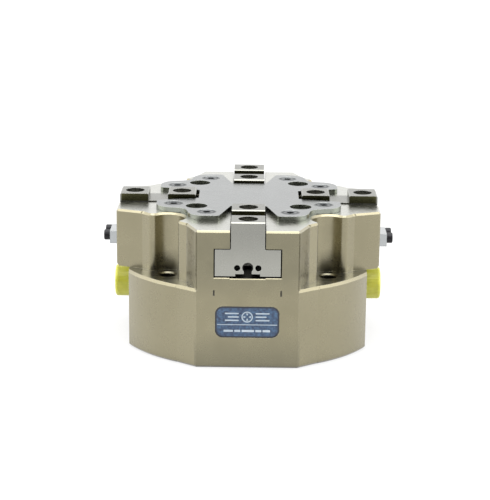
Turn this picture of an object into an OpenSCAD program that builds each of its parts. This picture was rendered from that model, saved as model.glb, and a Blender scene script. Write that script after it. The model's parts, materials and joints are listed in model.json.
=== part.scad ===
// Four-jaw centric pneumatic gripper: round base with a cross-shaped head,
// wedge-hook drive under a steel top plate, one cylinder in the base.
// Millimetres, +Z up, origin at the centre of the bottom face, label side at -Y.

/* [Housing] */
// Radius of the round base
base_r = 57.2; // [56.9:0.1:57.6]
// Half width of the base across the two port flats
port_flat = 49.8; // [49.4:0.1:50.4]
// Distance from the centre to each arm's end face
arm_reach = 55.3; // [55.3:0.1:55.8]
// Half width of an arm at its end face
arm_half = 20.7; // [20.2:0.1:21.2]
// Height of the ledge where the arms start
ledge_z = 33; // [32.4:0.1:33.6]
// Height of the head's top face
body_top = 57.4; // [57.2:0.1:57.8]
// Chamfer along the outer edges of the housing
edge_c = 0.8; // [0.4:0.1:1.0]

/* [Mounting holes] */
// Distance of the through holes from the centre, along X and along Y
mount_xy = 33.3; // [33:0.1:33.6]
// Diameter of the four through holes
mount_d = 6.8; // [6.4:0.1:7]
// Radius of the pocket round each through hole
pocket_r = 7.2; // [6.9:0.1:7.4]

/* [Base jaws] */
// Travel of each jaw from closed to open
jaw_stroke = 8; // [4:0.5:8]
// Width of the jaw neck that stands in the slot
neck_w = 13.6; // [13:0.1:13.8]
// Width of the jaw tee under the slot lips
tee_w = 26.4; // [25.8:0.1:26.6]
// Height of the finger pads' top face
pad_top = 60.9; // [60.5:0.1:61.4]
// Diameter of the centring counterbore in a finger pad
pad_bore_d = 8; // [7.4:0.1:8]
// Depth of that counterbore
pad_bore_h = 2.6; // [2:0.1:3]
// Core diameter of the finger screw thread
pad_core_d = 5; // [4.2:0.1:5.2]

/* [Drive] */
// Jaw travel for each millimetre of piston travel
hook_ratio = 0.8; // [0.8:0.01:0.82]
// Radius of the cylinder bore
bore_r = 33; // [32.6:0.1:33]
// Radius of the piston rod
rod_r = 9; // [8.6:0.1:9]

/* [Top plate] */
// Thickness of the top plate
plate_t = 2.1; // [1.8:0.1:2.2]
// Distance of the four large holes from the centre, along X and along Y
plate_hole_xy = 21.7; // [21.4:0.1:22]
// Diameter of the large holes
plate_hole_d = 9; // [8.4:0.1:9.2]
// Head diameter of the countersunk screws
screw_head_d = 8; // [7.4:0.1:8.2]

/* [Ports] */
// Height of the two air ports
port_z = 20.6; // [20.4:0.1:20.8]
// Core diameter of the port thread
port_d = 8.8; // [8.4:0.1:8.8]
// Diameter of the plastic plug heads
plug_d = 14; // [13:0.5:15]

/* [Label] */
// Width of the label plate
label_w = 25.8; // [24:0.2:26]
// Height of the label plate
label_h = 13; // [12:0.2:13.4]
// Height of the label's centre
label_z = 19.5; // [19:0.1:20]

/* [Hidden] */
$fn = 96;
e = 0.01;

// heights inside the base
cover_t = 4.7;          // cover flange
cover_z = 0.3;          // cover sits this far above the mounting face
cover_top = cover_z + cover_t;
stop_z = cover_top + 1; // top of the piston's stop pad
piston_z = stop_z + 0.1;
piston_t = 8;
piston_stroke = jaw_stroke / hook_ratio;
bore_top = 24.5;
pit_z = 30;             // floor of the pit under the wedge hook
// jaw slots in the head
floor_z = 38.0;
channel_z = 37.7;
roof_z = 50.05;
slot_neck = neck_w / 2 + 0.4;
slot_tee = tee_w / 2 + 0.5;
// jaw heights
tee_z0 = 38.6;
tee_z1 = 49.65;
gap_z = 57.9;
jaw_end = 54.9;
neck_in = 22.6;
pad_in = [22.6, 34.5];
pad_out = [42.8, jaw_end];
pad_hole_x = [28.7, 48.85];
in_top = 14.2;          // inner end of the tee at its top edge
key_z = 42.15;
key_in = 39.5;          // inner end of the keyhole
// inclined inner end of a jaw: further out lower down
function x_in(z) = in_top + hook_ratio * (tee_z1 - z);
hook_z0 = pit_z + 0.3;
hook_z1 = tee_z1 - 2.75;
plate_z1 = body_top + plate_t;
// screw places on the top plate and on the cover
plate_screw_p = [17.2, 31.5];
cover_screw_r = 37.9;
champagne = [0.62, 0.59, 0.47];

function arc(cx, cy, r, a0, a1, n) = [for (i = [0:n]) [cx + r * cos(a0 + (a1 - a0) * i / n), cy + r * sin(a0 + (a1 - a0) * i / n)]];

module four() for (a = [0, 90, 180, 270]) rotate([0, 0, a]) children();
module eight() four() for (m = [0, 1]) mirror([0, m, 0]) children();
// profile drawn in X and Z, given a width across Y
module side_profile(w) translate([0, w / 2, 0]) rotate([90, 0, 0]) linear_extrude(height = w) children();
module ring(ro, ri, h) difference() {
  cylinder(r = ro, h = h);
  translate([0, 0, -1]) cylinder(r = ri, h = h + 2);
}
// 45 degree chamfer along a straight edge from p to q at height z, run out a little past both ends
module edge_cut(p, q, z, c) {
  d = [q[0] - p[0], q[1] - p[1]];
  l = norm(d);
  translate([p[0], p[1], z]) rotate([0, 0, atan2(d[1], d[0])])
    rotate([45, 0, 0]) translate([-c, -c / sqrt(2), -c / sqrt(2)]) cube([l + 2 * c, c * sqrt(2), c * sqrt(2)]);
}
// same chamfer along an upright edge
module post_cut(p, z0, z1, a, c)
  translate([p[0], p[1], z0]) rotate([0, 0, a + 45]) translate([-c / sqrt(2), -c / sqrt(2), 0]) cube([c * sqrt(2), c * sqrt(2), z1 - z0]);

// ---- housing ----
sh_a = 30; // where the straight shoulder of the base runs into the round part
ledge_c = 1; // bevel along the outer edge of the ledge
mouth_c = 0.35; // bevel at the mouth of a jaw slot
sh_x = base_r * sin(sh_a);
sh_y = base_r * cos(sh_a);
flare_p = [44.2, 25.0];
tip_p = [39.9, 29.3];
// round corner between the 45 degree end of an arm and the pocket, in a frame turned by 45 degrees
fil_r = 2.6;
face_d = (flare_p[0] + flare_p[1]) / sqrt(2);
fil_v = face_d - fil_r + 0.02;
fil_u = sqrt(pow(pocket_r + fil_r - 0.02, 2) - pow(mount_xy * sqrt(2) - fil_v, 2));
fil_a = atan2(fil_u, mount_xy * sqrt(2) - fil_v);

module base_outline() intersection() {
  union() {
    circle(r = base_r);
    for (s = [-1, 1]) scale([1, s]) polygon([[-arm_half, arm_reach], [-sh_x, sh_y], [-25, 20], [25, 20], [sh_x, sh_y], [arm_half, arm_reach]]);
  }
  square([2 * port_flat, 2 * arm_reach], center = true);
}
// bevel along the rim of the base: the two arcs and the four straight shoulders
module rim_cut(z, c, up) {
  for (a = [0, 180]) rotate([0, 0, a - 90 + sh_a]) translate([0, 0, z]) rotate_extrude(angle = 180 - 2 * sh_a)
    polygon([[base_r - c, -up * e], [base_r + 0.3, -up * e], [base_r + 0.3, up * (0.3 + c - e)]]);
  for (s = [-1, 1], m = [-1, 1]) edge_cut([m * arm_half, s * arm_reach], [m * sh_x, s * sh_y], z, c);
}
module head_outline() difference() {
  polygon([for (k = [0:3]) let (c = cos(90 * k), s = sin(90 * k))
    for (p = [[arm_reach, -arm_half], [arm_reach, arm_half], flare_p, tip_p, [tip_p[1], tip_p[0]], [flare_p[1], flare_p[0]]])
      [c * p[0] - s * p[1], s * p[0] + c * p[1]]]);
  four() translate([mount_xy, mount_xy]) circle(r = pocket_r);
  four() rotate(45) for (s = [-1, 1]) scale([1, s]) difference() {
    polygon([[fil_v, fil_u], [face_d + 1, fil_u], [face_d + 1, fil_u - fil_r - 1.25],
      [fil_v + (fil_r + 1) * cos(fil_a), fil_u - (fil_r + 1) * sin(fil_a)]]);
    translate([fil_v, fil_u]) circle(r = fil_r);
  }
}
module label_outline(g) {
  r = 3.1 + g; w = label_w + 2 * g; h = label_h + 2 * g;
  square([w, h - 2 * r], center = true);
  square([w - 2 * r, h], center = true);
  for (x = [-1, 1], y = [-1, 1]) translate([x * (w / 2 - r), y * (h / 2 - r)]) circle(r = r);
}
module housing_edges() {
  // top of the head
  eight() {
    edge_cut([arm_reach, 2], [arm_reach, arm_half], body_top, edge_c);
    edge_cut([arm_reach, arm_half], flare_p, body_top, edge_c);
    edge_cut(flare_p, tip_p, body_top, edge_c);
    post_cut([arm_reach, arm_half], ledge_z - 0.5, body_top + 1, 10, 0.5);
  }
  four() translate([mount_xy, mount_xy, body_top])
    rotate_extrude() polygon([[pocket_r - 0.5, 0.5], [pocket_r - 0.5, -edge_c - 0.5], [pocket_r + edge_c + 0.5, 0.5]]);
  four() rotate([0, 0, 45]) for (s = [-1, 1]) translate([fil_v, s * fil_u, body_top]) rotate([0, 0, s > 0 ? -fil_a : 0])
    rotate_extrude(angle = fil_a) polygon([[fil_r - edge_c + 0.1, 0.2], [fil_r + 0.3, 0.2], [fil_r + 0.3, -edge_c - 0.2]]);
  // lower edge of the two overhanging arms
  for (a = [0, 180]) rotate([0, 0, a]) edge_cut([arm_reach, -arm_half], [arm_reach, arm_half], ledge_z, 1.0);
  // bottom rim
  for (s = [-1, 1]) {
    edge_cut([-arm_half, s * arm_reach], [arm_half, s * arm_reach], 0, edge_c);
    edge_cut([s * port_flat, -40], [s * port_flat, 40], 0, edge_c);
  }
}
module housing() color(champagne) difference() {
  union() {
    difference() {
      linear_extrude(height = ledge_z) base_outline();
      rim_cut(0, edge_c, 1);
      rim_cut(ledge_z, ledge_c, -1);
    }
    translate([0, 0, ledge_z - e]) linear_extrude(height = body_top - ledge_z + e) head_outline();
    // the front and back arms run down to the mounting face
    translate([-arm_half, -arm_reach, 0]) cube([2 * arm_half, 2 * arm_reach, ledge_z + 3]);
  }
  housing_edges();
  // jaw slots
  four() {
    translate([0, -slot_neck, roof_z - e]) cube([60, 2 * slot_neck, 20]);
    // tee part and channel, with a light bevel at the mouth
    side_profile(2 * slot_tee) polygon([[0, floor_z], [arm_reach - mouth_c, floor_z], [60, floor_z - 60 + arm_reach - mouth_c], [60, roof_z], [0, roof_z]]);
    side_profile(2 * slot_neck) polygon([[0, channel_z], [arm_reach - mouth_c, channel_z], [60, channel_z - 60 + arm_reach - mouth_c], [60, channel_z + 2], [0, channel_z + 2]]);
    translate([0, -6.4, pit_z]) cube([38.6, 12.8, 10]);
  }
  // well for the wedge hook
  translate([0, 0, pit_z]) cylinder(r = 15, h = 40);
  // rod hole, bush seat and seal groove
  translate([0, 0, 20]) cylinder(r = rod_r + 0.3, h = 12);
  translate([0, 0, 27.5]) cylinder(r = 11, h = 5);
  translate([0, 0, 25.2]) cylinder(r = 11.3, h = 2.1);
  // cylinder bore and cover recess
  translate([0, 0, cover_top - 1]) cylinder(r = bore_r, h = bore_top - cover_top + 1);
  translate([0, 0, -1]) cylinder(r = 41.3, h = cover_top + 1);
  for (i = [0:7]) rotate([0, 0, 22.5 + 45 * i]) translate([cover_screw_r, 0, cover_top - 1]) cylinder(r = 1.25, h = 11);
  // mounting holes, with a bevel at the ledge
  four() translate([mount_xy, mount_xy, 0]) {
    translate([0, 0, -1]) cylinder(d = mount_d, h = 40);
    translate([0, 0, ledge_z - 0.6]) cylinder(r1 = mount_d / 2, r2 = mount_d / 2 + 1.2, h = 1.2);
    translate([0, 0, -0.6]) cylinder(r1 = mount_d / 2 + 1.2, r2 = mount_d / 2, h = 1.2);
  }
  // threads under the top plate
  four() translate([plate_hole_xy, plate_hole_xy, 41]) cylinder(r = 3.4, h = 20);
  eight() translate([plate_screw_p[1], plate_screw_p[0], 49]) cylinder(r = 1.65, h = 12);
  // ports and their passages
  for (s = [-1, 1]) scale([s, 1, 1]) {
    translate([40.6, 0, port_z]) rotate([0, 90, 0]) cylinder(d = port_d, h = 12);
    translate([port_flat - 0.7, 0, port_z]) rotate([0, 90, 0]) cylinder(r1 = port_d / 2, r2 = port_d / 2 + 1.4, h = 1.4);
  }
  translate([30, 0, 22.4]) rotate([0, 90, 0]) cylinder(r = 1.2, h = 12);
  translate([-44, 0, -1]) cylinder(r = 1.5, h = port_z + 1);
  translate([-44, 0, 6.6]) rotate([0, 90, 0]) cylinder(r = 1.2, h = 14);
  // shallow pocket for the label, and two short marks under the front slot
  translate([0, -arm_reach + 0.3, label_z]) rotate([90, 0, 0]) linear_extrude(height = 2) label_outline(0.1);
  for (s = [-1, 1]) translate([s * 13.53 - 0.35, -arm_reach - 1, 30.4]) cube([0.7, 1.35, 2.4]);
}

// ---- cylinder ----
module base_cover() color([0.60, 0.58, 0.50]) difference() {
  union() {
    translate([0, 0, cover_z]) cylinder(r = 41.2, h = cover_t);
    translate([0, 0, cover_z + 1]) cylinder(r = 24, h = stop_z - cover_z - 1);
  }
  translate([0, 0, cover_top - 1.3]) ring(35.9, 33.9, 3);
  translate([0, 0, stop_z - 0.8]) cylinder(r = 8, h = 2);
  for (i = [0:7]) rotate([0, 0, 22.5 + 45 * i]) translate([cover_screw_r, 0, 0]) {
    translate([0, 0, -1]) cylinder(r = 1.6, h = 10);
    translate([0, 0, cover_z - e]) cylinder(r1 = 3.0, r2 = 1.6, h = 1.6);
  }
  // two jacking threads for pulling the cover
  for (s = [-1, 1]) translate([0, s * 29, -1]) cylinder(r = 1.65, h = 4.5);
}
module cover_seal() color([0.12, 0.12, 0.13]) translate([0, 0, cover_top - 0.65]) rotate_extrude() translate([34.9, 0]) circle(r = 0.63, $fn = 32);
module cover_screws() color([0.5, 0.5, 0.52])
  for (i = [0:7]) rotate([0, 0, 22.5 + 45 * i]) translate([cover_screw_r, 0, 0]) difference() {
    union() {
      translate([0, 0, cover_z + 0.1]) cylinder(r1 = 2.85, r2 = 1.5, h = 1.5);
      translate([0, 0, cover_z + 1]) cylinder(r = 1.2, h = 12.5);
    }
    translate([0, 0, cover_z]) cylinder(r = 1.15, h = 1.3, $fn = 6);
  }
module air_passage_plug() color([0.75, 0.62, 0.35]) translate([-44, 0, 0.6]) cylinder(r = 1.49, h = 3);
module piston() color([0.68, 0.68, 0.66]) translate([0, 0, piston_z]) difference() {
  rotate_extrude() polygon([[0, 0], [bore_r - 1.3, 0], [bore_r - 0.1, 1.2], [bore_r - 0.1, piston_t - 0.8], [bore_r - 0.9, piston_t], [0, piston_t]]);
  translate([0, 0, 4.4]) ring(bore_r + 1, bore_r - 2.3, 2.2);
  translate([0, 0, 1.7]) ring(bore_r + 1, bore_r - 1.4, 2.0);
  translate([0, 0, -1]) cylinder(r = 5.4, h = 5.4);
  translate([0, 0, 1]) cylinder(r = 3.2, h = 10);
  translate([0, 0, piston_t - 1.2]) cylinder(r = 6.05, h = 3);
  translate([7.5, 0, 4.9]) cylinder(r = 1.02, h = 6);
}
module piston_seal() color([0.10, 0.10, 0.11]) translate([0, 0, piston_z + 5.5]) rotate_extrude()
  polygon([[bore_r - 2.25, -1.05], [bore_r - 0.6, -1.05], [bore_r - 0.05, -0.6], [bore_r - 0.3, 0], [bore_r - 0.05, 0.6], [bore_r - 0.6, 1.05], [bore_r - 2.25, 1.05]]);
module piston_guide_ring() color([0.25, 0.24, 0.22]) translate([0, 0, piston_z + 1.75]) ring(bore_r - 0.04, bore_r - 1.35, 1.9);
module hook_screw() color([0.2, 0.2, 0.22]) difference() {
  union() {
    translate([0, 0, piston_z + 0.35]) cylinder(r = 5, h = 4.0);
    translate([0, 0, piston_z + 4]) cylinder(r = 3, h = 15.5);
  }
  translate([0, 0, piston_z]) cylinder(r = 2.3, h = 2.6, $fn = 6);
}
module hook_dowel() color([0.75, 0.75, 0.78]) translate([7.5, 0, piston_z + 5]) cylinder(r = 1, h = 6);

// One ramp rib: a web that carries a wide flange, both leaning out as they go down
module hook_rib() {
  side_profile(5) polygon([[0, hook_z0], [x_in(hook_z0) + 4.5, hook_z0], [x_in(hook_z1) + 4.5, hook_z1], [0, hook_z1]]);
  side_profile(11) polygon([[x_in(hook_z0) + 3.7, hook_z0], [x_in(hook_z0) + 7.2, hook_z0], [x_in(hook_z1) + 7.2, hook_z1], [x_in(hook_z1) + 3.7, hook_z1]]);
}
module wedge_hook() color([0.55, 0.55, 0.58]) difference() {
  union() {
    translate([0, 0, piston_z + piston_t]) cylinder(r = rod_r, h = hook_z0 + 1 - piston_z - piston_t);
    translate([0, 0, piston_z + piston_t - 1.15]) cylinder(r = 6, h = 3);
    translate([-9.5, -9.5, hook_z0]) cube([19, 19, hook_z1 - hook_z0]);
    four() hook_rib();
  }
  translate([0, 0, 5]) cylinder(r = 3.05, h = 22);
  translate([7.5, 0, 8]) cylinder(r = 1.02, h = piston_z + 11.1 - 8);
}
module rod_bush() color([0.70, 0.55, 0.30]) translate([0, 0, 27.52]) ring(10.98, rod_r + 0.05, 2.4);
module rod_seal() color([0.10, 0.10, 0.11]) translate([0, 0, 25.3]) rotate_extrude()
  polygon([[rod_r + 0.05, 0.2], [rod_r + 0.5, 0], [11.25, 0], [11.25, 1.9], [rod_r + 0.5, 1.9], [rod_r + 0.05, 1.7]]);

// ---- jaws ----
module base_jaw() difference() {
  union() {
    // tee with its inclined inner end
    side_profile(tee_w) polygon([[x_in(tee_z1), tee_z1], [x_in(tee_z0), tee_z0], [jaw_end, tee_z0], [jaw_end, tee_z1]]);
    // neck and the two finger pads
    side_profile(neck_w) polygon([[neck_in, tee_z1 - 1], [neck_in, pad_top - 0.5], [neck_in + 0.5, pad_top],
      [pad_in[1] - 0.4, pad_top], [pad_in[1], pad_top - 0.4], [pad_in[1], gap_z], [pad_out[0], gap_z],
      [pad_out[0], pad_top - 0.4], [pad_out[0] + 0.4, pad_top], [jaw_end - 0.5, pad_top], [jaw_end, pad_top - 0.5], [jaw_end, tee_z1 - 1]]);
  }
  // inclined slot for the wedge hook: web, then flange
  side_profile(5.6) polygon([for (q = [[-3, 37.6], [3.9, 37.6], [3.9, 51.2], [-3, 51.2]]) [x_in(q[1]) + q[0], q[1]]]);
  side_profile(11.6) polygon([for (q = [[3.5, 37.6], [7.4, 37.6], [7.4, 51.2], [3.5, 51.2]]) [x_in(q[1]) + q[0], q[1]]]);
  // finger mounting holes
  for (x = pad_hole_x) translate([x, 0, 0]) {
    translate([0, 0, pad_top - pad_bore_h]) cylinder(d = pad_bore_d, h = 5);
    translate([0, 0, 48.9]) cylinder(d = pad_core_d, h = 15);
  }
  // keyhole slot for a switch trip, open at the jaw's outer end
  translate([key_in, 0, key_z]) rotate([0, 90, 0]) cylinder(r = 2.2, h = 20);
  translate([key_in, -1.6, tee_z0 - 1]) cube([20, 3.2, key_z - tee_z0 + 1]);
  translate([key_in, -5, tee_z0 - 1]) cube([20, 10, 1.95]);
  for (s = [-1, 1]) translate([jaw_end - 9, s * 4.25, key_z - 0.1]) rotate([0, 90, 0]) cylinder(r = 1.25, h = 15);
}
module base_jaw_front() color([0.68, 0.68, 0.66]) rotate([0, 0, -90]) base_jaw();
module base_jaw_right() color([0.68, 0.68, 0.66]) base_jaw();
module base_jaw_back() color([0.68, 0.68, 0.66]) rotate([0, 0, 90]) base_jaw();
module base_jaw_left() color([0.68, 0.68, 0.66]) rotate([0, 0, 180]) base_jaw();

// switch trip on a jaw end
module trip_block() difference() {
  translate([jaw_end, -6.2, tee_z0 + 0.05]) cube([4.6, 12.4, 5.45]);
  for (s = [-1, 1]) translate([jaw_end - 1, s * 4.25, key_z - 0.1]) rotate([0, 90, 0]) cylinder(r = 1.35, h = 10);
}
module trip_pin() translate([key_in + 1, 0, key_z]) rotate([0, 90, 0]) cylinder(r = 2.14, h = jaw_end - key_in - 1.05);
module trip_screws() for (s = [-1, 1]) translate([0, s * 4.25, key_z - 0.1]) difference() {
  union() {
    translate([jaw_end + 4.6, 0, 0]) rotate([0, 90, 0]) cylinder(r = 2.25, h = 2.5);
    translate([jaw_end - 6, 0, 0]) rotate([0, 90, 0]) cylinder(r = 1.2, h = 11.5);
  }
  translate([jaw_end + 5.9, 0, 0]) rotate([0, 90, 0]) cylinder(r = 1.15, h = 3, $fn = 6);
}
module trip_block_right() color([0.86, 0.87, 0.88]) trip_block();
module trip_block_left() color([0.86, 0.87, 0.88]) rotate([0, 0, 180]) trip_block();
module trip_pin_right() color([0.7, 0.7, 0.72]) trip_pin();
module trip_pin_left() color([0.7, 0.7, 0.72]) rotate([0, 0, 180]) trip_pin();
module trip_screws_right() color([0.08, 0.08, 0.09]) trip_screws();
module trip_screws_left() color([0.08, 0.08, 0.09]) rotate([0, 0, 180]) trip_screws();

// ---- top plate ----
lobe = 38.7;   // reach of the lobes
lobe_c = 31.2; // centre of a lobe's rounded corner
lobe_r = lobe - lobe_c;
function plate_quarter() = concat(
  [[21.3, 7.5], [37.6, 11.75], [38.4, 12.3], [lobe, 13.3]],
  arc(lobe_c, 17.6, lobe_r, 0, 90, 14),
  [[28.0, 26.0], [26.85, 26.85], [26.0, 28.0]],
  arc(17.6, lobe_c, lobe_r, 0, 90, 14),
  [[13.3, lobe], [12.3, 38.4], [11.75, 37.6], [7.5, 21.3]]);
module top_plate() color([0.78, 0.79, 0.79]) difference() {
  translate([0, 0, body_top]) linear_extrude(height = plate_t)
    polygon([for (k = [0:3]) let (c = cos(90 * k), s = sin(90 * k)) for (p = plate_quarter()) [c * p[0] - s * p[1], s * p[0] + c * p[1]]]);
  four() translate([plate_hole_xy, plate_hole_xy, body_top - 1]) cylinder(d = plate_hole_d, h = 5);
  eight() translate([plate_screw_p[1], plate_screw_p[0], 0]) {
    translate([0, 0, body_top - 1]) cylinder(r = 2.2, h = 5);
    translate([0, 0, plate_z1 - 1.9]) cylinder(r1 = 2.2, r2 = screw_head_d / 2 + 0.1, h = 1.9 + e);
  }
}
module plate_screws() color([0.52, 0.53, 0.54])
  eight() translate([plate_screw_p[1], plate_screw_p[0], 0]) difference() {
    union() {
      translate([0, 0, plate_z1 - 1.95]) cylinder(r1 = 2.05, r2 = screw_head_d / 2 - 0.1, h = 1.85);
      translate([0, 0, 50]) cylinder(r = 1.6, h = plate_z1 - 50 - 1.5);
    }
    translate([0, 0, plate_z1 - 1.4]) cylinder(r = 1.45, h = 3, $fn = 6);
  }

// ---- port plugs and label ----
module port_plug() {
  translate([port_flat + 0.02, 0, port_z]) rotate([0, 90, 0]) difference() {
    rotate_extrude() polygon([[0, 0], [plug_d / 2, 0], [plug_d / 2, 6.9], [plug_d / 2 - 0.8, 7.7], [0, 7.7]]);
    translate([0, 0, 1.8]) cylinder(r = plug_d / 2 - 2, h = 7);
  }
  translate([port_flat - 7.5, 0, port_z]) rotate([0, 90, 0]) cylinder(r = port_d / 2 - 0.05, h = 8);
}
module port_plug_right() color([0.78, 0.76, 0.25]) port_plug();
module port_plug_left() color([0.78, 0.76, 0.25]) rotate([0, 0, 180]) port_plug();
module label_plate() color([0.22, 0.33, 0.46])
  translate([0, -arm_reach + 0.3, label_z]) rotate([90, 0, 0]) linear_extrude(height = 0.28) label_outline(0);

housing();
base_cover();
cover_seal();
cover_screws();
air_passage_plug();
piston();
piston_seal();
piston_guide_ring();
hook_screw();
hook_dowel();
wedge_hook();
rod_bush();
rod_seal();
base_jaw_front();
base_jaw_right();
base_jaw_back();
base_jaw_left();
top_plate();
plate_screws();
port_plug_left();
port_plug_right();
label_plate();
trip_block_left();
trip_block_right();
trip_pin_left();
trip_pin_right();
trip_screws_left();
trip_screws_right();
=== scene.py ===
import json
import math

import bmesh
import bpy
from mathutils import Matrix, Vector


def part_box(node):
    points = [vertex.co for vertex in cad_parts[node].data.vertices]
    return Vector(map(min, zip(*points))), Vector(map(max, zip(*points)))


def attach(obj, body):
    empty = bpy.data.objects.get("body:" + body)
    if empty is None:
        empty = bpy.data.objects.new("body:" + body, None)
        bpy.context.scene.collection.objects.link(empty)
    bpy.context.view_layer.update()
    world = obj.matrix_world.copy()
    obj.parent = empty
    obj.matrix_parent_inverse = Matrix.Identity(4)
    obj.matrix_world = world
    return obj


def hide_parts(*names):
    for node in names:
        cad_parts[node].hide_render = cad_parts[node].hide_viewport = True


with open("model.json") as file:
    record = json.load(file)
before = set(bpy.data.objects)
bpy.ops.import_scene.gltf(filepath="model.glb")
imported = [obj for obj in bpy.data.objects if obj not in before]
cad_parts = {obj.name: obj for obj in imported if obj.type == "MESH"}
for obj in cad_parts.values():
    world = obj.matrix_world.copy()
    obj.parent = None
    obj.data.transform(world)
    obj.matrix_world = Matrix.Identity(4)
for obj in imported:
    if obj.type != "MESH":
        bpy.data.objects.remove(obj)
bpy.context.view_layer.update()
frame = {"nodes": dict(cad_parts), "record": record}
nodes = frame["nodes"]
scene = bpy.context.scene
MM = 0.001

# ------------------------------------------------------------------ camera
fwd = Vector((-0.00377, 0.96490, -0.26258)).normalized()
right = fwd.cross(Vector((0, 0, 1))).normalized()
up = right.cross(fwd).normalized()
roll = math.radians(0.63)
cam_x = math.cos(roll) * right + math.sin(roll) * up
cam_y = -math.sin(roll) * right + math.cos(roll) * up
cam = bpy.data.objects.new("camera", bpy.data.cameras.new("camera"))
m4 = Matrix((cam_x, cam_y, -fwd)).transposed().to_4x4()
m4.translation = Vector((0.00120, -0.66320, 0.21513))
cam.matrix_world = m4
cam.data.lens = 113.9
cam.data.sensor_width = 36
cam.data.clip_start, cam.data.clip_end = 0.02, 30
scene.collection.objects.link(cam)
scene.camera = cam


# ------------------------------------------------------------------ material helpers
class Tree:
    """A small wrapper that makes nodes and links in one line each."""

    def __init__(self, name):
        self.mat = bpy.data.materials.new(name)
        self.mat.use_nodes = True
        self.nt = self.mat.node_tree
        self.nt.nodes.clear()
        self.out = self.nt.nodes.new("ShaderNodeOutputMaterial")
        self.bsdf = self.nt.nodes.new("ShaderNodeBsdfPrincipled")
        self.nt.links.new(self.bsdf.outputs[0], self.out.inputs[0])

    def node(self, kind, inputs=None, **props):
        n = self.nt.nodes.new("ShaderNode" + kind)
        for k, v in props.items():
            setattr(n, k, v)
        for k, v in (inputs or {}).items():
            self.put(n.inputs[k], v)
        return n

    def put(self, socket, value):
        if isinstance(value, bpy.types.NodeSocket):
            self.nt.links.new(value, socket)
        else:
            socket.default_value = value

    def coords(self):
        return self.node("TexCoord").outputs["Object"]

    def stretch(self, vec, scale, rot=(0, 0, 0)):
        return self.node("Mapping", {"Vector": vec, "Scale": scale, "Rotation": rot}).outputs[0]

    def noise(self, vec, scale, detail=2.0, rough=0.5):
        return self.node("TexNoise", {"Vector": vec, "Scale": scale, "Detail": detail, "Roughness": rough}).outputs["Fac"]

    def fit(self, value, a, b, c, d):
        n = self.node("MapRange", {"Value": value, "From Min": a, "From Max": b, "To Min": c, "To Max": d})
        n.clamp = True
        return n.outputs[0]

    def math(self, op, a, b=0.0, clamp=False):
        n = self.node("Math", operation=op)
        n.use_clamp = clamp
        self.put(n.inputs[0], a)
        self.put(n.inputs[1], b)
        return n.outputs[0]

    def mix(self, fac, a, b):
        n = self.node("Mix", data_type="RGBA")
        self.put(n.inputs[0], fac)
        self.put(n.inputs[6], a)
        self.put(n.inputs[7], b)
        return n.outputs[2]

    def radius(self, vec):
        """Distance from the Z axis."""
        s = self.node("SeparateXYZ", {"Vector": vec})
        a = self.math("MULTIPLY", s.outputs[0], s.outputs[0])
        b = self.math("MULTIPLY", s.outputs[1], s.outputs[1])
        return self.math("SQRT", self.math("ADD", a, b))

    def edges(self, radius):
        """0 on flat areas, near 1 along edges."""
        bev = self.node("Bevel", {"Radius": radius}, samples=4)
        geo = self.node("NewGeometry")
        dot = self.node("VectorMath", {0: bev.outputs[0], 1: geo.outputs["True Normal"]}, operation="DOT_PRODUCT")
        return self.fit(dot.outputs["Value"], 0.995, 0.80, 0.0, 1.0)


def rgb(r, g, b):
    def lin(c):
        c /= 255.0
        return c / 12.92 if c <= 0.04045 else ((c + 0.055) / 1.055) ** 2.4
    return (lin(r), lin(g), lin(b), 1.0)


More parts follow.
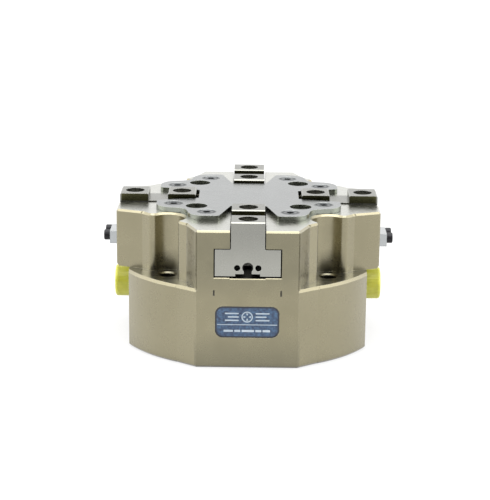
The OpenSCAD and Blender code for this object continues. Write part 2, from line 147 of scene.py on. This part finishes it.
def metal(name, tone_a, tone_b, rough, grain="blast", scale=5000, bump=0.12, soft=0.00018,
          wear=None, wear_amount=0.5, rough_var=0.08, metallic=1.0, streak_axis=0, coords=None, edge_width=0.00045,
          coat=0.0, coat_rough=0.3, side=None, side_shade_above=None, top=None, cavity=0.002, cavity_floor=0.22, shaded_bore_axis=None, painted_foot_light=None, painted_hole_shade=None, painted_end_shade=None, radial=None):
    t = Tree(name)
    vec = coords(t) if coords else t.coords()
    cloud = t.noise(vec, 38, 3.0)
    smudge = t.noise(vec, 150, 4.0, 0.6)
    colour = t.mix(t.fit(cloud, 0.35, 0.65, 0.0, 1.0), tone_a, tone_b)
    if grain == "blast":
        g = t.noise(vec, scale, 2.0, 0.6)
    elif grain == "ground":
        s = [scale, scale, scale]
        s[streak_axis] = scale / 90
        g = t.noise(t.stretch(vec, s), 1.0, 3.0, 0.65)
    else:
        r = t.radius(vec)
        line = t.node("CombineXYZ", {"X": t.math("MULTIPLY", r, float(scale))})
        g = t.noise(line.outputs[0], 1.0, 3.0, 0.7)
    base_rough = t.math("ADD", t.fit(smudge, 0.3, 0.7, rough - rough_var, rough + rough_var),
                        t.fit(g, 0.3, 0.7, -rough_var * 0.5, rough_var * 0.5))
    edge = t.edges(edge_width)
    chip = t.math("MULTIPLY", edge, t.fit(t.noise(vec, 900, 3.0, 0.7), 0.35, 0.62, 0.25, 1.0), True)
    amount = t.math("MULTIPLY", chip, wear_amount)
    n3 = t.node("SeparateXYZ", {"Vector": t.node("NewGeometry").outputs["True Normal"]})
    p3 = t.node("SeparateXYZ", {"Vector": t.coords()})
    if side:  # painted light and shade by orientation: side walls get their own tone, a dark painted shade on the jaw pads and a lighter painted tone on the plate rim
        painted_side_mask = t.fit(t.math("ABSOLUTE", n3.outputs[2]), 0.25, 0.75, 1.0, 0.0)
        if side_shade_above:
            painted_side_mask = t.math("MULTIPLY", painted_side_mask, t.fit(p3.outputs[2], side_shade_above - 0.0001, side_shade_above + 0.0001, 0.0, 1.0))
            painted_side_mask = t.math("MULTIPLY", painted_side_mask, t.fit(t.radius(t.coords()), 0.0546, 0.0548, 1.0, 0.0))
        if radial is not None:  # the sleeve bores of the pads keep the lighter tone, outside the painted side shade
            along_arm = t.math("SUBTRACT", t.math("ABSOLUTE", t.math("SUBTRACT", t.math("ABSOLUTE", p3.outputs[radial]), 0.038775)), 0.010075)
            rr = t.radius(t.node("CombineXYZ", {"X": along_arm, "Y": p3.outputs[1 - radial]}).outputs[0])
            painted_side_mask = t.math("MULTIPLY", painted_side_mask, t.fit(rr, 0.00415, 0.0043, 0.15, 1.0))
        colour = t.mix(painted_side_mask, colour, side)
    if top:  # painted light and shade on faces that look up: a touch more neutral and lighter on the body, darker on the jaws, for how the overhead light falls
        colour = t.mix(t.fit(n3.outputs[2], 0.75, 0.95, 0.0, 1.0), colour, top)
    if painted_foot_light:  # painted reflection: slightly lighter towards the foot
        colour = t.mix(t.fit(p3.outputs[2], 0.042, 0.056, 1.0, 0.0), colour, painted_foot_light)
    if shaded_bore_axis:  # painted shade: dark walls of the small recesses in the end face
        inside = t.math("MULTIPLY", t.fit(t.math("ABSOLUTE", n3.outputs[shaded_bore_axis]), 0.5, 0.9, 1.0, 0.0),
                        t.fit(t.math("ABSOLUTE", p3.outputs[1 - shaded_bore_axis]), 0.0066, 0.0068, 1.0, 0.0))
        inside = t.math("MULTIPLY", inside, t.fit(p3.outputs[2], 0.0452, 0.0454, 1.0, 0.0))
        colour = t.mix(inside, colour, rgb(34, 33, 32))
    dirt = t.fit(t.noise(vec, 420, 4.0, 0.7), 0.62, 0.80, 0.0, 0.07)
    colour = t.mix(dirt, colour, tuple(c * 0.55 for c in tone_b[:3]) + (1.0,))
    if wear:
        colour = t.mix(amount, colour, wear)
        base_rough = t.math("SUBTRACT", base_rough, t.math("MULTIPLY", amount, 0.10), True)
    if painted_end_shade:  # painted shade: the flat ends are duller towards the slot and towards the foot
        ends = t.fit(t.math("ABSOLUTE", p3.outputs[1]), 0.0547, 0.0549, 0.0, 0.75)
        band = t.math("MAXIMUM", t.fit(p3.outputs[2], 0.029, 0.040, 0.0, 1.0), t.fit(p3.outputs[2], 0.016, 0.004, 0.0, 1.0))
        colour = t.mix(t.math("MULTIPLY", ends, band), colour, painted_end_shade)
    if painted_hole_shade:  # painted shade: dark, duller walls of vertical holes at (+-x, +-y): position, radius
        dx = t.math("SUBTRACT", t.math("ABSOLUTE", p3.outputs[0]), painted_hole_shade[0])
        dy = t.math("SUBTRACT", t.math("ABSOLUTE", p3.outputs[1]), painted_hole_shade[0])
        rr = t.radius(t.node("CombineXYZ", {"X": dx, "Y": dy}).outputs[0])
        hole = t.math("MULTIPLY", t.fit(rr, painted_hole_shade[1], painted_hole_shade[1] + 0.0001, 1.0, 0.0),
                      t.fit(t.math("ABSOLUTE", n3.outputs[2]), 0.2, 0.4, 1.0, 0.0))
        colour = t.mix(hole, colour, rgb(44, 42, 34))
        base_rough = t.math("ADD", base_rough, t.math("MULTIPLY", hole, 0.2), True)
        # painted shade at the foot of the pocket round each hole
        foot = t.math("MULTIPLY", t.fit(rr, 0.0074, 0.0092, 0.7, 0.0), t.fit(p3.outputs[2], 0.0335, 0.0420, 1.0, 0.0))
        foot = t.math("MULTIPLY", foot, t.fit(p3.outputs[2], 0.0318, 0.0326, 0.0, 1.0))
        colour = t.mix(foot, colour, rgb(58, 55, 34))
    if cavity:  # painted shade (ambient occlusion) in corners, slots and holes
        ao = t.node("AmbientOcclusion", {"Distance": cavity}, samples=6)
        shade = t.fit(ao.outputs["AO"], 0.12, 0.72, cavity_floor, 1.0)
        mul = t.node("Mix", data_type="RGBA", blend_type="MULTIPLY")
        mul.inputs[0].default_value = 1.0
        t.put(mul.inputs[6], colour)
        t.put(mul.inputs[7], shade)
        colour = mul.outputs[2]
    t.put(t.bsdf.inputs["Base Color"], colour)
    t.put(t.bsdf.inputs["Roughness"], base_rough)
    t.bsdf.inputs["Metallic"].default_value = metallic
    if coat:
        t.bsdf.inputs["Coat Weight"].default_value = coat
        t.bsdf.inputs["Coat Roughness"].default_value = coat_rough
        t.bsdf.inputs["Coat IOR"].default_value = 1.6
    bev = t.node("Bevel", {"Radius": soft}, samples=4)
    b = t.node("Bump", {"Height": g, "Strength": bump, "Distance": 0.00004, "Normal": bev.outputs[0]})
    t.put(t.bsdf.inputs["Normal"], b.outputs[0])
    return t


# ------------------------------------------------------------------ materials
body = metal("anodised_champagne", rgb(144, 137, 109), rgb(138, 131, 103), 0.30, "blast", 5200, 0.05, 0.00022, rgb(204, 198, 174), 0.5,
             coat=0.9, coat_rough=0.26, top=rgb(150, 150, 140), cavity=0.005, cavity_floor=0.30, painted_hole_shade=(0.0333, 0.0036), painted_end_shade=rgb(120, 115, 91))
plate = metal("ground_plate", rgb(135, 137, 137), rgb(131, 133, 133), 0.27, "ground", 3600, 0.02, 0.00020, rgb(190, 192, 190), 0.5,
              rough_var=0.025, streak_axis=0, side=rgb(150, 154, 144))
jaw_y = metal("ground_jaw_y", rgb(148, 148, 142), rgb(144, 144, 138), 0.27, "ground", 3600, 0.03, 0.00015, rgb(205, 205, 200), 0.5,
              rough_var=0.03, streak_axis=1, side=rgb(84, 83, 58), side_shade_above=0.0577, radial=1, shaded_bore_axis=1, cavity_floor=0.5, top=rgb(121, 121, 115), painted_foot_light=rgb(164, 164, 157))
jaw_x = metal("ground_jaw_x", rgb(148, 148, 142), rgb(144, 144, 138), 0.27, "ground", 3600, 0.03, 0.00015, rgb(205, 205, 200), 0.5,
              rough_var=0.03, streak_axis=0, side=rgb(84, 83, 58), side_shade_above=0.0577, radial=0, cavity_floor=0.5, top=rgb(121, 121, 115))
cover = metal("turned_cover", rgb(160, 154, 128), rgb(150, 144, 118), 0.34, "turned", 5200, 0.18, 0.00020, rgb(210, 206, 190), 0.5, coat=0.6)
turned = metal("turned_aluminium", rgb(176, 177, 175), rgb(166, 167, 165), 0.32, "turned", 5200, 0.15, 0.00015, rgb(215, 215, 213), 0.4)
hook = metal("hardened_steel", rgb(128, 129, 132), rgb(112, 113, 117), 0.34, "ground", 4200, 0.12, 0.00015, rgb(180, 180, 182), 0.5, streak_axis=2)
steel = metal("fastener_steel", rgb(118, 124, 124), rgb(104, 110, 111), 0.28, "blast", 6500, 0.08, 0.00010, rgb(176, 180, 180), 0.6, edge_width=0.0003)
black = metal("black_oxide", rgb(38, 38, 41), rgb(28, 28, 31), 0.42, "blast", 6500, 0.14, 0.00010, rgb(88, 88, 92), 0.45, metallic=0.6, edge_width=0.0003)
nickel = metal("bright_nickel", rgb(176, 179, 180), rgb(168, 171, 172), 0.18, "ground", 5000, 0.05, 0.00018, rgb(120, 122, 122), 0.8, streak_axis=1)
bronze = metal("sintered_bronze", rgb(168, 134, 82), rgb(148, 114, 66), 0.45, "blast", 3200, 0.2, 0.00010, rgb(200, 170, 110), 0.4)


def dielectric(name, tone_a, tone_b, rough, scale, bump, soft=0.00015, subsurface=0.0, coat=0.0, transmission=0.0):
    t = Tree(name)
    vec = t.coords()
    cloud = t.noise(vec, 160, 3.0)
    fine = t.noise(vec, scale, 3.0, 0.6)
    colour = t.mix(t.fit(cloud, 0.35, 0.65, 0, 1), tone_a, tone_b)
    t.put(t.bsdf.inputs["Base Color"], colour)
    t.put(t.bsdf.inputs["Roughness"], t.fit(fine, 0.3, 0.7, rough - 0.06, rough + 0.06))
    bev = t.node("Bevel", {"Radius": soft}, samples=4)
    b = t.node("Bump", {"Height": fine, "Strength": bump, "Distance": 0.00005, "Normal": bev.outputs[0]})
    t.put(t.bsdf.inputs["Normal"], b.outputs[0])
    if subsurface:
        t.bsdf.inputs["Subsurface Weight"].default_value = subsurface
        t.bsdf.inputs["Subsurface Radius"].default_value = (0.0030, 0.0030, 0.0010)
        t.bsdf.inputs["Subsurface Scale"].default_value = 1.0
    t.bsdf.inputs["Coat Weight"].default_value = coat
    t.bsdf.inputs["Coat Roughness"].default_value = 0.12
    t.bsdf.inputs["Transmission Weight"].default_value = transmission
    return t


rubber = dielectric("nitrile_rubber", rgb(30, 30, 32), rgb(22, 22, 24), 0.62, 3000, 0.25)
ptfe = dielectric("guide_ptfe", rgb(70, 62, 52), rgb(58, 51, 43), 0.5, 2600, 0.2)
plug = dielectric("plug_polyethylene", rgb(214, 212, 62), rgb(200, 200, 48), 0.38, 1800, 0.25, 0.0003, subsurface=0.7)

by_slot = {"body_anodised": body, "cover_anodised": cover, "seal_rubber": rubber, "fastener_steel": steel, "bronze": bronze,
           "plate_steel": plate, "plug_plastic": plug, "piston_aluminium": turned, "guide_plastic": ptfe, "hook_steel": hook,
           "black_steel": black, "block_nickel": nickel, "jaw_steel": jaw_y, "label_foil": black}
slot_of = {s["node"]: s["material_slot"] for s in frame["record"]["subparts"]}
for name, obj in nodes.items():
    t = by_slot[slot_of[name]]
    if name in ("base_jaw_left", "base_jaw_right"):
        t = jaw_x
    obj.data.materials.clear()
    obj.data.materials.append(t.mat)


# ------------------------------------------------------------------ mesh helpers
class Build:
    """Collects rings and prisms in one mesh, with a vertex attribute that holds each point in its own local frame."""

    def __init__(self):
        self.bm = bmesh.new()
        self.loc = self.bm.verts.layers.float_vector.new("loc")

    def vert(self, p, m):
        v = self.bm.verts.new(m @ Vector(p))
        v[self.loc] = p
        return v

    def rings(self, rings, m=Matrix(), n=48, slot=0, cap=(True, True)):
        """rings: (height, radius) pairs, or (height, function of the angle)."""
        rows = []
        for h, r in rings:
            row = []
            for i in range(n):
                a = 2 * math.pi * i / n
                q = r(a) if callable(r) else r
                row.append(self.vert((q * math.cos(a), q * math.sin(a), h), m))
            rows.append(row)
        for a, b in zip(rows, rows[1:]):
            for i in range(n):
                j = (i + 1) % n
                self.bm.faces.new((a[i], a[j], b[j], b[i])).material_index = slot
        if cap[0]:
            self.bm.faces.new(list(reversed(rows[0]))).material_index = slot
        if cap[1]:
            self.bm.faces.new(rows[-1]).material_index = slot

    def prism(self, outline, h0, h1, m=Matrix(), slot=0, chamfer=0.0):
        """A closed plate from a convex or star-shaped outline, with a small bevel round its top."""
        rows = [[(x, y, h0) for x, y in outline], [(x, y, h1 - chamfer) for x, y in outline]]
        if chamfer:
            cx = sum(x for x, _ in outline) / len(outline)
            cy = sum(y for _, y in outline) / len(outline)
            top = []
            for x, y in outline:
                d = math.hypot(x - cx, y - cy) or 1.0
                top.append((x - (x - cx) / d * chamfer, y - (y - cy) / d * chamfer, h1))
            rows.append(top)
        made = [[self.vert(q, m) for q in row] for row in rows]
        n = len(outline)
        for a, b in zip(made, made[1:]):
            for i in range(n):
                j = (i + 1) % n
                self.bm.faces.new((a[i], a[j], b[j], b[i])).material_index = slot
        self.bm.faces.new(list(reversed(made[0]))).material_index = slot
        self.bm.faces.new(made[-1]).material_index = slot

    def done(self, name, body_name, trees, replaces=(), angle=32):
        bmesh.ops.recalc_face_normals(self.bm, faces=self.bm.faces)
        me = bpy.data.meshes.new(name)
        self.bm.to_mesh(me)
        self.bm.free()
        o = bpy.data.objects.new(name, me)
        scene.collection.objects.link(o)
        for t in trees:
            me.materials.append(t.mat)
        for q in me.polygons:
            q.use_smooth = True
        me.set_sharp_from_angle(angle=math.radians(angle))
        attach(o, body_name)
        if replaces:
            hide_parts(*replaces)
        return o


def hexagon(apothem):
    return lambda a: apothem / math.cos((a + math.pi / 6) % (math.pi / 3) - math.pi / 6)


def knurl(r, depth, teeth):
    return lambda a: r - depth * (0.5 - 0.5 * math.cos(teeth * a))


def place(point, axis, turn=0.0):
    q = Vector(axis).to_track_quat("Z", "Y")
    return Matrix.Translation(Vector(point)) @ q.to_matrix().to_4x4() @ Matrix.Rotation(turn, 4, "Z")


def thread(z0, z1, crest, root, pitch):
    out, z = [], z0
    while z < z1 - pitch:
        out += [(z + pitch * 0.06, root), (z + pitch * 0.44, crest), (z + pitch * 0.56, crest), (z + pitch * 0.94, root)]
        z += pitch
    return out


def local(t):
    return t.node("Attribute", attribute_name="loc").outputs["Vector"]


def along(t):
    """Coordinates that change along the axis of a turned piece and with its radius, for turning marks."""
    s = t.node("SeparateXYZ", {"Vector": local(t)})
    r = t.radius(local(t))
    return t.node("CombineXYZ", {"X": t.math("ADD", r, s.outputs[2])}).outputs[0]


screw_steel = metal("screw_turned", rgb(70, 73, 75), rgb(60, 63, 65), 0.27, "turned", 9000, 0.05, 0.00008, rgb(132, 136, 137), 0.7,
                    rough_var=0.05, coords=local, edge_width=0.00030, cavity=0.0008)
screw_black = metal("screw_black_oxide", rgb(36, 36, 39), rgb(26, 26, 29), 0.40, "blast", 6500, 0.14, 0.00008, rgb(84, 84, 88), 0.45,
                    metallic=0.6, coords=local, edge_width=0.00025)
socket_dark = metal("socket_shadow", rgb(44, 47, 48), rgb(34, 36, 38), 0.45, "blast", 6500, 0.14, 0.00006, metallic=0.8, coords=local)
# painted shade: the threads deep in the holes under the plate get a near-black colour
shaded_hole_thread = metal("shaded_hole_thread", rgb(40, 40, 38), rgb(30, 30, 29), 0.42, "turned", 7000, 0.10, 0.00005, rgb(64, 64, 62), 0.3,
                     metallic=0.8, coords=local, edge_width=0.0002)

finger_thread = metal("finger_thread", rgb(112, 112, 104), rgb(96, 96, 89), 0.34, "turned", 7000, 0.10, 0.00005, rgb(150, 150, 144), 0.4,
                      coords=local, edge_width=0.0002, cavity=0.0006, cavity_floor=0.5)

# ------------------------------------------------------------------ top plate screws
lo_s, hi_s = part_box("plate_screws")
head_z = hi_s.z
b = Build()
for k in range(8):
    x, y = (0.0315, 0.0172) if k % 2 == 0 else (0.0172, 0.0315)
    q = (k // 2) * math.pi / 2
    px, py = x * math.cos(q) - y * math.sin(q), x * math.sin(q) + y * math.cos(q)
    m = place((px, py, 0), (0, 0, 1), 0.35 + 1.13 * k)
    z = head_z
    b.rings([(lo_s.z, 0.0011), (lo_s.z + 0.0004, 0.0015)] + thread(lo_s.z + 0.0005, z - 0.0030, 0.0016, 0.00135, 0.0007)
            + [(z - 0.0024, 0.0016), (z - 0.00185, 0.00205), (z - 0.00022, 0.00368), (z - 0.00005, 0.00384), (z, 0.00376),
               (z, 0.00345), (z - 0.00022, 0.00332), (z - 0.00022, 0.00300), (z - 0.00002, 0.00285), (z - 0.00002, 0.00215), (z, 0.00205), (z, hexagon(0.00158)),
               (z - 0.00012, hexagon(0.00146))],
            m, n=48, cap=(True, False))
    b.rings([(z - 0.00012, hexagon(0.00146)), (z - 0.0014, hexagon(0.00145)), (z - 0.0016, 0.0006)], m, n=48, slot=1, cap=(False, True))
bmesh.ops.remove_doubles(b.bm, verts=b.bm.verts, dist=1e-7)
b.done("plate_screws_detailed", "housing", [screw_steel, socket_dark], ["plate_screws"])

# ------------------------------------------------------------------ trip screws: knurled socket heads
for side, sx in (("left", -1), ("right", 1)):
    node = "trip_screws_" + side
    lo_t, hi_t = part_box(node)
    tip = hi_t.x if sx > 0 else -lo_t.x
    start = lo_t.x if sx > 0 else -hi_t.x
    zc = (lo_t.z + hi_t.z) / 2
    yc = hi_t.y - 0.00225
    b = Build()
    for y in (-yc, yc):
        m = place((0, y, zc), (sx, 0, 0), 0.2 if y > 0 else 0.7)
        h0 = tip - 0.0025
        b.rings([(start, 0.0009), (start + 0.0003, 0.00115)] + thread(start + 0.0004, h0 - 0.0004, 0.00119, 0.00100, 0.0005)
                + [(h0, 0.00119), (h0, 0.00205), (h0 + 0.00015, 0.0022), (h0 + 0.00035, knurl(0.00225, 0.00010, 24)),
                   (tip - 0.00045, knurl(0.00225, 0.00010, 24)), (tip - 0.00025, 0.00218), (tip - 0.00005, 0.00200), (tip, 0.00188),
                   (tip, hexagon(0.00122)), (tip - 0.0001, hexagon(0.00115))], m, n=96, cap=(True, False))
        b.rings([(tip - 0.0001, hexagon(0.00115)), (tip - 0.0013, hexagon(0.00114)), (tip - 0.0015, 0.0004)], m, n=96, slot=1, cap=(False, True))
    bmesh.ops.remove_doubles(b.bm, verts=b.bm.verts, dist=1e-7)
    b.done(node + "_detailed", "jaw_" + side, [screw_black, socket_dark], [node])

# ------------------------------------------------------------------ port plugs
plug_mat = dielectric("plug_moulded", rgb(200, 199, 84), rgb(184, 184, 64), 0.36, 1800, 0.3, 0.0002, subsurface=0.65)
for side, sx in (("left", -1), ("right", 1)):
    node = "port_plug_" + side
    lo_p, hi_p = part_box(node)
    tip = hi_p.x if sx > 0 else -lo_p.x
    start = lo_p.x if sx > 0 else -hi_p.x
    zc = (lo_p.z + hi_p.z) / 2
    flange = tip - 0.0077
    R = (hi_p.z - lo_p.z) / 2
    b = Build()
    grip = knurl(R - 0.00010, 0.00012, 36)
    b.rings([(start, 0.0036), (start + 0.0005, 0.0041)] + thread(start + 0.0006, flange - 0.0007, 0.00434, 0.0040, 0.0009)
            + [(flange - 0.0004, 0.0040), (flange, 0.0043), (flange, R - 0.0003), (flange + 0.00015, R - 0.00008), (flange + 0.0004, R),
               (flange + 0.0012, R), (flange + 0.0014, R - 0.00008), (flange + 0.0016, grip), (tip - 0.0012, grip),
               (tip - 0.0009, R - 0.00012), (tip - 0.0005, R - 0.00032), (tip - 0.0002, R - 0.0006), (tip - 0.00004, R - 0.00095),
               (tip, R - 0.0013), (tip - 0.00005, R - 0.0016), (tip - 0.0003, R - 0.0019), (tip - 0.0008, R - 0.0020),
               (flange + 0.0023, R - 0.0021), (flange + 0.0019, R - 0.0024), (flange + 0.0018, R - 0.0029), (flange + 0.0018, 0.0011),
               (flange + 0.0022, 0.0010), (flange + 0.0024, 0.0007)],
            place((0, 0, zc), (sx, 0, 0)), n=144)
    b.done(node + "_moulded", "housing", [plug_mat], [node], angle=40)

# ------------------------------------------------------------------ threads inside the finger holes and under the plate
for jaw, ax in (("front", (0, -1)), ("right", (1, 0)), ("back", (0, 1)), ("left", (-1, 0))):
    b = Build()
    for d in (0.0287, 0.04885):
        b.rings([(0.0493, 0.00249)] + thread(0.0495, 0.0581, 0.00226, 0.00247, 0.0010) + [(0.0582, 0.00249), (0.0493, 0.002495)],
                place((ax[0] * d, ax[1] * d, 0), (0, 0, 1)), n=40, cap=(False, False))
    bmesh.ops.remove_doubles(b.bm, verts=b.bm.verts, dist=1e-6)
    b.done("finger_thread_" + jaw, "jaw_" + jaw, [finger_thread])
b = Build()
for sx in (-1, 1):
    for sy in (-1, 1):
        b.rings([(0.0440, 0.00339)] + thread(0.0442, 0.0572, 0.00308, 0.00336, 0.00125) + [(0.0573, 0.00339), (0.0440, 0.003395)],
                place((sx * 0.0217, sy * 0.0217, 0), (0, 0, 1)), n=48, cap=(False, False))
bmesh.ops.remove_doubles(b.bm, verts=b.bm.verts, dist=1e-6)
b.done("plate_hole_threads", "housing", [shaded_hole_thread])

# painted shade: dark fill in the two short marks under the front slot
mark_shade_fill = dielectric("mark_shade_fill", rgb(58, 54, 40), rgb(46, 43, 32), 0.6, 3000, 0.2, 0.00003)
b = Build()
front_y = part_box("housing")[0].y
for sx in (-1, 1):
    m = Matrix.Translation((sx * 0.01353, 0, 0.0316)) @ Matrix(((1, 0, 0, 0), (0, 0, -1, 0), (0, 1, 0, 0), (0, 0, 0, 1)))
    b.prism([(-0.00030, -0.00115), (0.00030, -0.00115), (0.00030, 0.00115), (-0.00030, 0.00115)], -front_y - 0.00034, -front_y - 0.00002, m)
b.done("front_mark_shade_fill", "housing", [mark_shade_fill])

# ------------------------------------------------------------------ label with generic marks
lo_l, hi_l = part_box("label_plate")
lc = (lo_l + hi_l) / 2
lw, lh = hi_l.x - lo_l.x, hi_l.z - lo_l.z
face_y = lo_l.y
lm = Matrix.Translation((lc.x, 0, lc.z)) @ Matrix(((1, 0, 0, 0), (0, 0, -1, 0), (0, 1, 0, 0), (0, 0, 0, 1)))  # local z points to -Y


def rounded(w, h, r, n=10):
    pts = []
    for cx, cy, a0 in ((w / 2 - r, h / 2 - r, 0), (-w / 2 + r, h / 2 - r, 90), (-w / 2 + r, -h / 2 + r, 180), (w / 2 - r, -h / 2 + r, 270)):
        for i in range(n + 1):
            a = math.radians(a0 + 90 * i / n)
            pts.append((cx + r * math.cos(a), cy + r * math.sin(a)))
    return pts


def moved(pts, dx, dy):
    return [(x + dx, y + dy) for x, y in pts]


label_edge = dielectric("label_edge", rgb(34, 42, 56), rgb(26, 32, 44), 0.34, 2600, 0.1, 0.00005, coat=0.3)
label_field = Tree("label_field")
t = label_field
vec = t.coords()
mott = t.noise(vec, 900, 5.0, 0.7)
fleck = t.noise(vec, 2600, 2.0, 0.6)
blue = t.mix(t.fit(mott, 0.38, 0.62, 0.0, 1.0), rgb(36, 50, 78), rgb(70, 100, 132))
blue = t.mix(t.fit(fleck, 0.50, 0.68, 0.0, 0.55), blue, rgb(26, 36, 58))
t.put(t.bsdf.inputs["Base Color"], blue)
t.put(t.bsdf.inputs["Roughness"], t.fit(mott, 0.3, 0.7, 0.28, 0.42))
t.bsdf.inputs["Coat Weight"].default_value = 0.2
t.bsdf.inputs["Coat Roughness"].default_value = 0.2
t.put(t.bsdf.inputs["Normal"], t.node("Bump", {"Height": fleck, "Strength": 0.15, "Distance": 0.00003}).outputs[0])
label_ink = dielectric("label_ink", rgb(184, 196, 206), rgb(166, 180, 192), 0.42, 3000, 0.12, 0.00004)

b = Build()
b.prism(rounded(lw, lh, 0.0031), -hi_l.y, -face_y - 0.00002, lm, slot=0, chamfer=0.00006)
b.prism(rounded(lw - 0.0012, lh - 0.0012, 0.0026), -face_y - 0.00004, -face_y - 0.000008, lm, slot=1, chamfer=0.00001)
ink0, ink1 = -face_y - 0.00002, -face_y + 0.000012


def bar(x, y, w, h, r=None):
    b.prism(moved(rounded(w, h, r or min(w, h) * 0.3, 4), x, y), ink0, ink1, lm, slot=2)


bar(0, -0.00109, lw - 0.0016, 0.00030)
# pictogram: a ring with four wedges that point inwards, like jaws
cy = 0.0022
ring_o = [(0.00230 * math.cos(2 * math.pi * i / 48), 0.00230 * math.sin(2 * math.pi * i / 48)) for i in range(48)]
ring_i = [(x * 0.80, y * 0.80) for x, y in ring_o]
vo0 = [b.vert((x, y + cy, ink0), lm) for x, y in ring_o]
vo1 = [b.vert((x, y + cy, ink1), lm) for x, y in ring_o]
vi0 = [b.vert((x, y + cy, ink0), lm) for x, y in ring_i]
vi1 = [b.vert((x, y + cy, ink1), lm) for x, y in ring_i]
for i in range(48):
    j = (i + 1) % 48
    for quad in ((vo0[i], vo0[j], vo1[j], vo1[i]), (vo1[i], vo1[j], vi1[j], vi1[i]), (vi1[i], vi1[j], vi0[j], vi0[i]), (vi0[i], vi0[j], vo0[j], vo0[i])):
        b.bm.faces.new(quad).material_index = 2
for k in range(4):
    a = k * math.pi / 2
    tri = [(0.00050, 0), (0.00150, 0.00048), (0.00150, -0.00048)]
    b.prism([(x * math.cos(a) - y * math.sin(a), x * math.sin(a) + y * math.cos(a) + cy) for x, y in tri], ink0, ink1, lm, slot=2)
# plain stripes beside it and a broken bar below
for s in (-1, 1):
    for i, length in enumerate((0.0056, 0.0044, 0.0056)):
        bar(s * (0.0034 + length / 2), cy + (1 - i) * 0.00145, length, 0.00055)
x = -0.0095
for length in (0.0038, 0.0024, 0.0050, 0.0024, 0.0030):
    bar(x + length / 2, -0.0037, length, 0.0009, 0.0002)
    x += length + 0.00055
b.done("label_generic", "housing", [label_edge, label_field, label_ink], ["label_plate"], angle=30)

# ------------------------------------------------------------------ stage
def stage_plane(name, size, z):
    bm = bmesh.new()
    bmesh.ops.create_grid(bm, x_segments=1, y_segments=1, size=size)
    me = bpy.data.meshes.new(name)
    bm.to_mesh(me)
    bm.free()
    o = bpy.data.objects.new(name, me)
    o.location.z = z
    scene.collection.objects.link(o)
    return o


floor = stage_plane("floor", 6.0, -0.0001)
ft = Tree("floor_white")
fn = ft.noise(ft.coords(), 3, 2)
ft.put(ft.bsdf.inputs["Base Color"], ft.mix(fn, (0.18, 0.18, 0.18, 1), (0.20, 0.20, 0.20, 1)))
ft.bsdf.inputs["Emission Color"].default_value = (1, 1, 1, 1)
ft.bsdf.inputs["Emission Strength"].default_value = 0.70
ft.bsdf.inputs["Roughness"].default_value = 0.9
ft.bsdf.inputs["Specular Level" if "Specular Level" in ft.bsdf.inputs else "Specular IOR Level"].default_value = 0.1
floor.data.materials.append(ft.mat)

world = bpy.data.worlds.new("studio")
scene.world = world
world.use_nodes = True
wn = world.node_tree
wn.nodes.clear()
wo = wn.nodes.new("ShaderNodeOutputWorld")
bg = wn.nodes.new("ShaderNodeBackground")
wn.links.new(bg.outputs[0], wo.inputs[0])
wt = wn.nodes.new("ShaderNodeTexCoord")
ws = wn.nodes.new("ShaderNodeSeparateXYZ")
wn.links.new(wt.outputs["Generated"], ws.inputs[0])
ramp = wn.nodes.new("ShaderNodeValToRGB")
wn.links.new(ws.outputs[2], ramp.inputs[0])
stops = [(0.0, 1.35), (0.28, 1.40), (0.6, 2.0), (1.0, 2.8)]
els = ramp.color_ramp.elements
while len(els) < len(stops):
    els.new(0.5)
for el, (p, v) in zip(els, stops):
    el.position = p
    v /= 3.0
    el.color = (v, v, v * 0.995, 1)
# the room in front of the object is darker than the lit sides and back
front = wn.nodes.new("ShaderNodeMapRange")
front.interpolation_type = "SMOOTHSTEP"
wn.links.new(ws.outputs[1], front.inputs["Value"])
for k, v in (("From Min", -0.90), ("From Max", -0.45), ("To Min", 0.12), ("To Max", 1.0)):
    front.inputs[k].default_value = v
# brighter panels to the left and right, and low at the back
def world_node(kind, **inputs):
    n = wn.nodes.new("ShaderNode" + kind)
    for k, v in inputs.items():
        k = k.replace("_", " ")
        if isinstance(v, bpy.types.NodeSocket):
            wn.links.new(v, n.inputs[k])
        else:
            n.inputs[k].default_value = v
    return n


def world_math(op, a, b):
    n = wn.nodes.new("ShaderNodeMath")
    n.operation = op
    for i, v in enumerate((a, b)):
        if isinstance(v, bpy.types.NodeSocket):
            wn.links.new(v, n.inputs[i])
        else:
            n.inputs[i].default_value = v
    return n.outputs[0]


ax = world_math("ABSOLUTE", ws.outputs[0], 0.0)
side_gain = world_node("MapRange", Value=ax, From_Min=0.70, From_Max=0.95, To_Min=1.0, To_Max=2.1).outputs[0]
back_gain = world_node("MapRange", Value=ws.outputs[1], From_Min=0.6, From_Max=0.95, To_Min=1.0, To_Max=0.94).outputs[0]
gain = world_math("MULTIPLY", world_math("MULTIPLY", side_gain, back_gain), front.outputs[0])
shade = wn.nodes.new("ShaderNodeMix")
shade.data_type = "RGBA"
shade.blend_type = "MULTIPLY"
shade.inputs[0].default_value = 1.0
wn.links.new(ramp.outputs[0], shade.inputs[6])
wn.links.new(gain, shade.inputs[7])
wn.links.new(shade.outputs[2], bg.inputs[0])
bg.inputs[1].default_value = 3.0


def area(name, loc, target, size, power, colour=(1, 1, 1)):
    d = bpy.data.lights.new(name, "AREA")
    d.shape = "RECTANGLE"
    d.size, d.size_y = size
    d.energy = power
    d.color = colour
    o = bpy.data.objects.new(name, d)
    o.location = loc
    o.rotation_euler = (Vector(target) - Vector(loc)).to_track_quat("-Z", "Y").to_euler()
    scene.collection.objects.link(o)
    return o


area("top_soft", (0.0, -0.1, 1.1), (0, 0, 0.03), (1.2, 1.2), 8.0)

scene.view_settings.view_transform = "Standard"
scene.view_settings.look = "None"
scene.view_settings.exposure = 0.0
